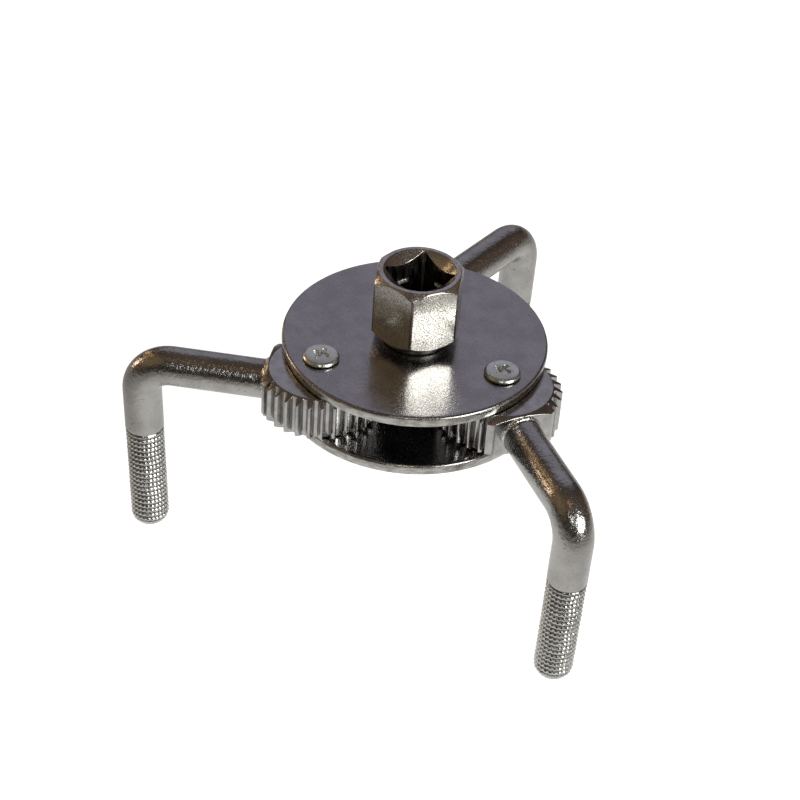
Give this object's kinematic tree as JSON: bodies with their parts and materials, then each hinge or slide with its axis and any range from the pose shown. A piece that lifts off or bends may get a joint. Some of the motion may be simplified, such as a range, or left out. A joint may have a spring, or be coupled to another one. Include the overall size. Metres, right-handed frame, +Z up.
{
  "type": "oil filter wrench",
  "caption": "Two-way geared oil filter wrench: a hexagon and square drive head turns a sun gear that swings L-bent legs between round plates on to a filter canister.",
  "frame": {"origin": "centre of the floor of the square drive socket, on the axis of the drive head", "axes": "+Z up along the drive axis out of the socket; the walls of the square socket face along X and Y"},
  "size_m": [0.1161, 0.1288, 0.0809],
  "materials": {
    "plate_steel": "satin rolled steel, faint lavender grey",
    "drive_steel": "ground steel, bright flats",
    "gear_steel": "machined steel",
    "leg_plating": "bright plating with slight orange peel, knurled ends",
    "screw_zinc": "bright zinc",
    "hardware_steel": "dark oiled steel"
  },
  "bodies": {
    "frame": {"top_plate": "plate_steel", "bottom_plate": "plate_steel", "pivot_post_1": "hardware_steel", "pivot_post_2": "hardware_steel", "pivot_post_3": "hardware_steel", "plate_screw_1": "screw_zinc", "plate_screw_2": "screw_zinc", "plate_screw_3": "screw_zinc"},
    "drive": {"drive_head": "drive_steel", "sun_gear": "gear_steel", "upper_thrust_washer": "hardware_steel", "lower_thrust_washer": "hardware_steel", "retaining_ring": "hardware_steel"},
    "jaw_1": {"planet_gear_1": "gear_steel", "leg_1": "leg_plating"},
    "jaw_2": {"planet_gear_2": "gear_steel", "leg_2": "leg_plating"},
    "jaw_3": {"planet_gear_3": "gear_steel", "leg_3": "leg_plating"}
  },
  "joints": [
    {"name": "drive_turn", "type": "hinge", "parent": "frame", "child": "drive", "pos_m": [0, 0, -0.01435], "axis": [0, 0, 1], "range_deg": [-190.6, 104.3]},
    {"name": "jaw_1_swing", "type": "hinge", "parent": "frame", "child": "jaw_1", "pos_m": [-0.00496, -0.02552, -0.01435], "axis": [0, 0, 1], "range_deg": [-83.5, 152.5]},
    {"name": "jaw_2_swing", "type": "hinge", "parent": "frame", "child": "jaw_2", "pos_m": [0.02458, 0.00846, -0.01435], "axis": [0, 0, 1], "range_deg": [-83.5, 152.5]},
    {"name": "jaw_3_swing", "type": "hinge", "parent": "frame", "child": "jaw_3", "pos_m": [-0.01962, 0.01706, -0.01435], "axis": [0, 0, 1], "range_deg": [-83.5, 152.5]}
  ],
  "couplings": [
    {"joint": "jaw_1_swing", "follows": "drive_turn", "ratio": -0.8},
    {"joint": "jaw_2_swing", "follows": "drive_turn", "ratio": -0.8},
    {"joint": "jaw_3_swing", "follows": "drive_turn", "ratio": -0.8}
  ]
}
